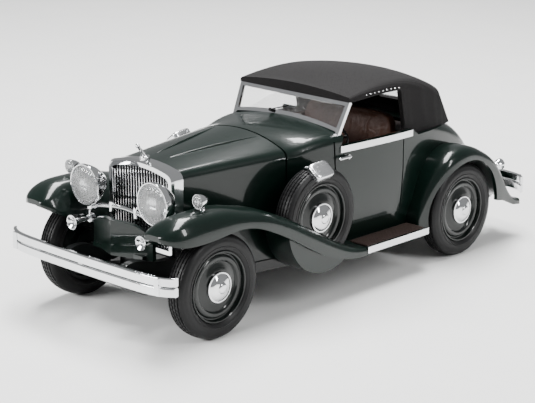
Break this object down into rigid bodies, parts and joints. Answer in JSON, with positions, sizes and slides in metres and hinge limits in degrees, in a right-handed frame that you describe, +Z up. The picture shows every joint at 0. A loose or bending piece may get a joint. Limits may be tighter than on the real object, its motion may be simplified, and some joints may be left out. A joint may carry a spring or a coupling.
{
  "type": "diecast collector car",
  "caption": "Small-scale diecast model of a 1930s two-door drophead with raised soft top, side-mounted spare wheels and free-rolling wheels.",
  "frame": {"origin": "on the ground, under the middle of the length over the bumpers and of the width", "axes": "+Z up, -Y towards the nose of the car, +X towards the car's own left side"},
  "size_m": [0.043, 0.107, 0.0388],
  "materials": {
    "paint": "high-gloss very dark green enamel over zinc casting",
    "chassis_black": "satin black paint",
    "screw_steel": "zinc-plated steel",
    "axle_steel": "drawn steel",
    "bright": "bright plated",
    "tyre": "satin black vinyl rubber",
    "disc_black": "gloss black-green",
    "lens_clear": "clear moulded lens, ribbed",
    "lens_red": "red moulded lens",
    "clear_plastic": "clear film",
    "trim_black": "black moulding",
    "mat": "brown-black ribbed mat",
    "cabin_brown": "brown moulded to look like leather",
    "soft_top": "matt black moulding grained like canvas"
  },
  "bodies": {
    "car": {"belt_strips": "bright", "body_tub": "paint", "bonnet": "paint", "chassis_plate": "chassis_black", "chassis_screws": "screw_steel", "dashboard": "cabin_brown", "door_handles": "bright", "exhaust_pipe": "chassis_black", "front_apron": "paint", "front_bumper": "bright", "front_wing_left": "paint", "front_wing_right": "paint", "headlamp_left": "bright", "headlamp_lenses": "lens_clear", "headlamp_right": "bright", "horns": "bright", "interior_mirror": "bright", "interior_tub": "cabin_brown", "lamp_bar": "bright", "radiator_cap": "bright", "radiator_grille": "bright", "radiator_shell": "bright", "rear_bumper": "bright", "rear_window": "clear_plastic", "rear_wing_left": "paint", "rear_wing_right": "paint", "running_board_left": "chassis_black", "running_board_mats": "mat", "running_board_right": "chassis_black", "seat_back": "cabin_brown", "seat_cushion": "cabin_brown", "soft_top": "soft_top", "spare_discs": "disc_black", "spare_hub_caps": "bright", "spare_mirrors": "bright", "spare_tyres": "tyre", "steering_column": "trim_black", "steering_wheel": "trim_black", "step_strips": "bright", "tail_lamp_lenses": "lens_red", "tail_lamps": "bright", "windscreen_frame": "bright", "windscreen_glass": "clear_plastic", "wing_lamp_lenses": "lens_clear", "wing_lamps": "bright", "wiper": "trim_black"},
    "front_axle_set": {"front_axle": "axle_steel", "hub_cap_front_left": "bright", "hub_cap_front_right": "bright", "tyre_front_left": "tyre", "tyre_front_right": "tyre", "wheel_disc_front_left": "disc_black", "wheel_disc_front_right": "disc_black"},
    "rear_axle_set": {"hub_cap_rear_left": "bright", "hub_cap_rear_right": "bright", "rear_axle": "axle_steel", "tyre_rear_left": "tyre", "tyre_rear_right": "tyre", "wheel_disc_rear_left": "disc_black", "wheel_disc_rear_right": "disc_black"}
  },
  "joints": [
    {"name": "front_axle_spin", "type": "hinge", "parent": "car", "child": "front_axle_set", "pos_m": [0, -0.038, 0.0095], "axis": [1, 0, 0], "continuous": true},
    {"name": "rear_axle_spin", "type": "hinge", "parent": "car", "child": "rear_axle_set", "pos_m": [0, 0.0305, 0.0095], "axis": [1, 0, 0], "continuous": true}
  ]
}
